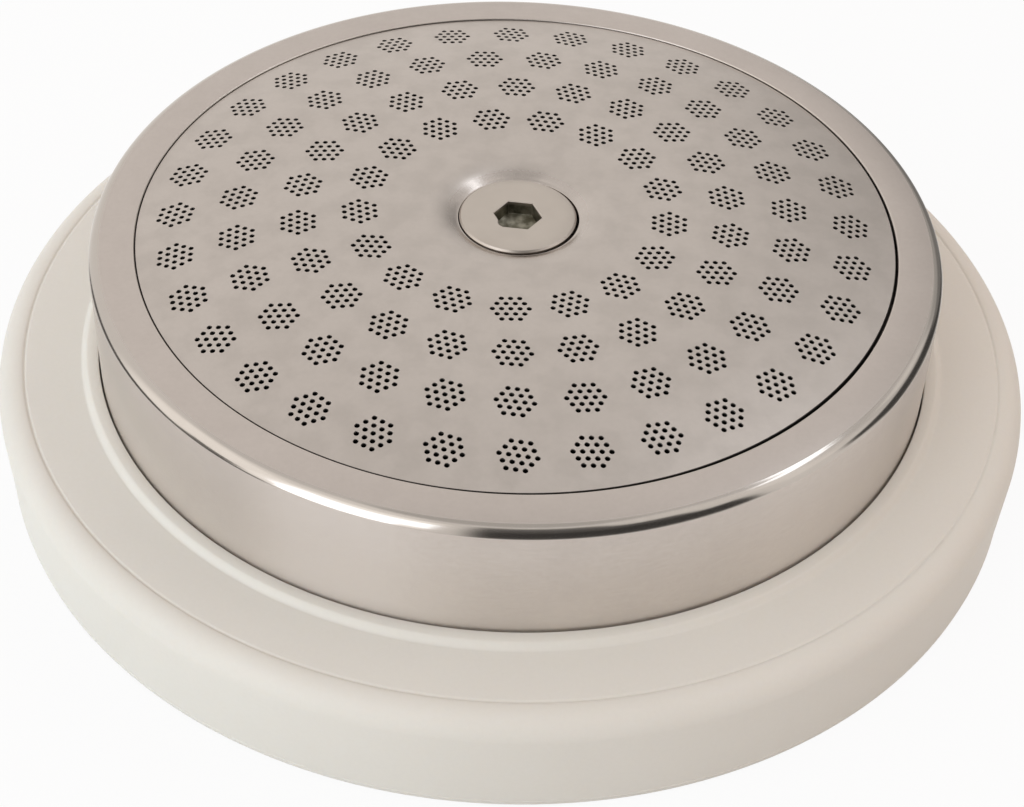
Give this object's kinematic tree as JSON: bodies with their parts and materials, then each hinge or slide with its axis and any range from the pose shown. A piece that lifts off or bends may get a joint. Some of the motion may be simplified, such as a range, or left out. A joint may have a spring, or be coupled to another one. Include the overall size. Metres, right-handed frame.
{
  "type": "espresso shower screen",
  "caption": "Round stainless steel shower screen with clusters of fine holes, a polished rim and a centre clamp screw, held in a cream silicone gasket.",
  "frame": {"origin": "middle of the gasket's underside", "axes": "+Z along the screw's axis, out of the perforated plate, towards the coffee; -Y towards the camera of the picture"},
  "size_m": [0.0628, 0.0628, 0.0162],
  "materials": {
    "gasket_silicone": "matte cream silicone",
    "shell_steel": "satin wall and land with a polished round edge",
    "plate_steel": "satin, lightly mottled",
    "washer_steel": "plain bright",
    "screw_steel": "satin with a bright chamfer"
  },
  "bodies": {
    "root": {"silicone_gasket": "gasket_silicone", "rim_shell": "shell_steel", "perforated_plate": "plate_steel", "screw_washer": "washer_steel", "clamp_screw": "screw_steel"}
  },
  "joints": []
}
